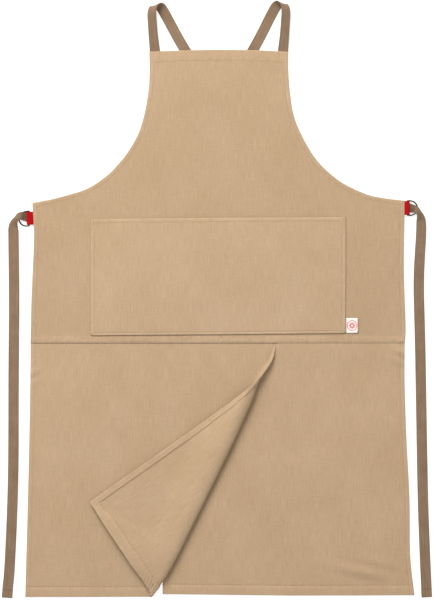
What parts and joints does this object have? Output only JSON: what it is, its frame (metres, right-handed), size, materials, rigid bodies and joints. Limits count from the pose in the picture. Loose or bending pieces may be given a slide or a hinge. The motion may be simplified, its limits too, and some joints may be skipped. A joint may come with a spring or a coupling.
{
  "type": "split-leg cross-back apron",
  "caption": "Bib apron laid flat, with split leg panels, a wide front pocket and cross-back webbing straps threaded through D-rings.",
  "frame": {"origin": "middle of the surface the apron lies on, under the centre of its bounding box", "axes": "+Z out of the front face, +Y from the hem towards the bib, +X to the viewer's right when the front is seen with the bib up"},
  "size_m": [0.774, 1.0762, 0.0137],
  "materials": {
    "canvas": "matte woven cotton canvas",
    "webbing": "matte ribbed cotton webbing",
    "red_ribbon": "ribbed grosgrain ribbon",
    "ring_metal": "dark antique plating",
    "label": "printed cotton tape"
  },
  "bodies": {
    "apron_body": {"body_panel": "canvas", "pocket": "canvas", "left_strap": "webbing", "right_strap": "webbing", "left_ring_tab": "red_ribbon", "right_ring_tab": "red_ribbon"},
    "label": {"label": "label"},
    "left_leg": {"left_leg_panel": "canvas"},
    "left_corner": {"left_leg_folded_corner": "canvas"},
    "right_leg": {"right_leg_panel": "canvas"},
    "left_ring": {"left_d_ring": "ring_metal", "left_ring_strap_turn": "webbing"},
    "left_tail": {"left_strap_tail": "webbing"},
    "right_ring": {"right_d_ring": "ring_metal", "right_ring_strap_turn": "webbing"},
    "right_tail": {"right_strap_tail": "webbing"}
  },
  "joints": [
    {"name": "left_leg_swing", "type": "hinge", "parent": "apron_body", "child": "left_leg", "pos_m": [0, -0.0771, 0.00345], "axis": [-1, 0, 0], "range_deg": [0, 80]},
    {"name": "corner_unfold", "type": "hinge", "parent": "left_leg", "child": "left_corner", "pos_m": [0.08744, -0.13594, 0.00735], "axis": [0.4562, 0.8899, 0], "range_deg": [0, 165]},
    {"name": "right_leg_swing", "type": "hinge", "parent": "apron_body", "child": "right_leg", "pos_m": [0, -0.0771, 0.00225], "axis": [1, 0, 0], "range_deg": [0, 80]},
    {"name": "label_flip", "type": "hinge", "parent": "apron_body", "child": "label", "pos_m": [0.23174, -0.04644, 0.00575], "axis": [0, -1, 0], "range_deg": [0, 150]},
    {"name": "left_ring_pivot", "type": "hinge", "parent": "apron_body", "child": "left_ring", "pos_m": [-0.33706, 0.14636, 0.004], "axis": [0, 1, 0], "range_deg": [0, 30]},
    {"name": "right_ring_pivot", "type": "hinge", "parent": "apron_body", "child": "right_ring", "pos_m": [0.34144, 0.16506, 0.004], "axis": [0, -1, 0], "range_deg": [0, 30]},
    {"name": "left_tail_swing", "type": "hinge", "parent": "left_ring", "child": "left_tail", "pos_m": [-0.37566, 0.13656, 0.00075], "axis": [0, 0, -1], "range_deg": [0, 60]},
    {"name": "right_tail_swing", "type": "hinge", "parent": "right_ring", "child": "right_tail", "pos_m": [0.38004, 0.15526, 0.00075], "axis": [0, 0, 1], "range_deg": [0, 60]}
  ]
}
